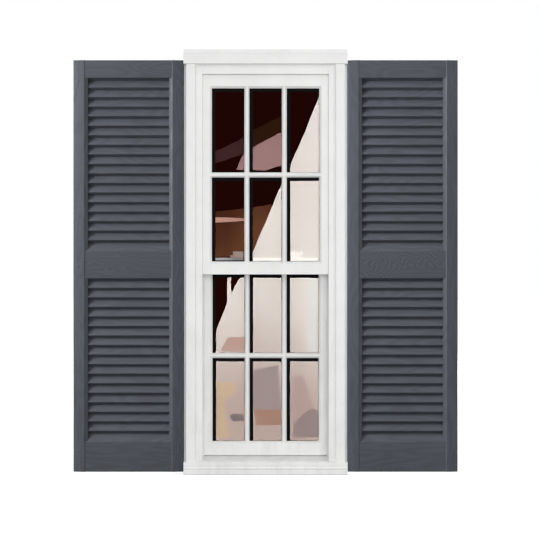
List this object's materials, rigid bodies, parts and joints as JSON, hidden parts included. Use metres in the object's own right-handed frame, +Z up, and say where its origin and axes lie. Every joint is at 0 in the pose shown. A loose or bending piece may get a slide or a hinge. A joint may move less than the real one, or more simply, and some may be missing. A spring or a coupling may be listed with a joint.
{
  "type": "double-hung window with louvred shutters",
  "caption": "White double-hung window in a moulded casing, with small panes and sliding sashes, flanked by two fixed dark grey louvred shutters.",
  "frame": {"origin": "on the wall's outdoor face, at the middle of the casing's bottom edge", "axes": "+X to the right seen from outdoors, +Y indoors, +Z up"},
  "size_m": [1.3052, 0.1405, 1.443],
  "materials": {
    "shutter_vinyl": "dark blue-grey moulded vinyl with a wood grain, low sheen",
    "fastener": "dark blue-grey plastic, smooth",
    "white_paint": "satin white paint",
    "glass": "clear polished glass with a faint dark tint",
    "spacer": "black",
    "weatherstrip": "soft dark seal",
    "hardware": "light enamel",
    "balance_tube": "pale painted tube",
    "steel": "zinc plated"
  },
  "bodies": {
    "window_frame": {"casing_left": "white_paint", "casing_right": "white_paint", "casing_head": "white_paint", "casing_sill": "white_paint", "jamb_left": "white_paint", "jamb_right": "white_paint", "jamb_head": "white_paint", "sill": "white_paint", "blind_stop_left": "white_paint", "blind_stop_right": "white_paint", "blind_stop_head": "white_paint", "parting_bead_left": "white_paint", "parting_bead_right": "white_paint", "parting_bead_head": "white_paint", "inner_stop_left": "white_paint", "inner_stop_right": "white_paint", "inner_stop_head": "white_paint", "upper_balance_tubes": "balance_tube", "lower_balance_tubes": "balance_tube", "balance_screws": "steel", "shutter_left": "shutter_vinyl", "shutter_right": "shutter_vinyl", "shutter_fasteners_left": "fastener", "shutter_fasteners_right": "fastener"},
    "upper_sash": {"upper_stile_left": "white_paint", "upper_stile_right": "white_paint", "upper_top_rail": "white_paint", "upper_meeting_rail": "white_paint", "upper_pane_outer": "glass", "upper_pane_inner": "glass", "upper_spacer": "spacer", "upper_muntins_outer": "white_paint", "upper_muntins_inner": "white_paint", "upper_glazing_beads": "white_paint", "upper_balance_rods": "steel", "upper_head_seal": "weatherstrip", "meeting_seal": "weatherstrip", "lock_keepers": "hardware", "keeper_screws": "steel"},
    "lower_sash": {"lower_stile_left": "white_paint", "lower_stile_right": "white_paint", "lower_meeting_rail": "white_paint", "lower_bottom_rail": "white_paint", "lower_pane_outer": "glass", "lower_pane_inner": "glass", "lower_spacer": "spacer", "lower_muntins_outer": "white_paint", "lower_muntins_inner": "white_paint", "lower_glazing_beads": "white_paint", "lower_balance_rods": "steel", "lower_sill_seal": "weatherstrip", "finger_lifts": "hardware", "finger_lift_screws": "steel", "lock_base_left": "hardware", "lock_base_right": "hardware"},
    "left_lock_cam": {"lock_cam_left": "hardware"},
    "right_lock_cam": {"lock_cam_right": "hardware"}
  },
  "joints": [
    {"name": "upper_sash_slide", "type": "slide", "parent": "window_frame", "child": "upper_sash", "axis": [0, 0, -1], "range_m": [0, 0.59]},
    {"name": "lower_sash_slide", "type": "slide", "parent": "window_frame", "child": "lower_sash", "axis": [0, 0, 1], "range_m": [0, 0.59]},
    {"name": "left_lock_turn", "type": "hinge", "parent": "lower_sash", "child": "left_lock_cam", "pos_m": [-0.092, 0.05, 0.7463], "axis": [0, 0, 1], "range_deg": [0, 180]},
    {"name": "right_lock_turn", "type": "hinge", "parent": "lower_sash", "child": "right_lock_cam", "pos_m": [0.092, 0.05, 0.7463], "axis": [0, 0, 1], "range_deg": [0, 180]}
  ]
}
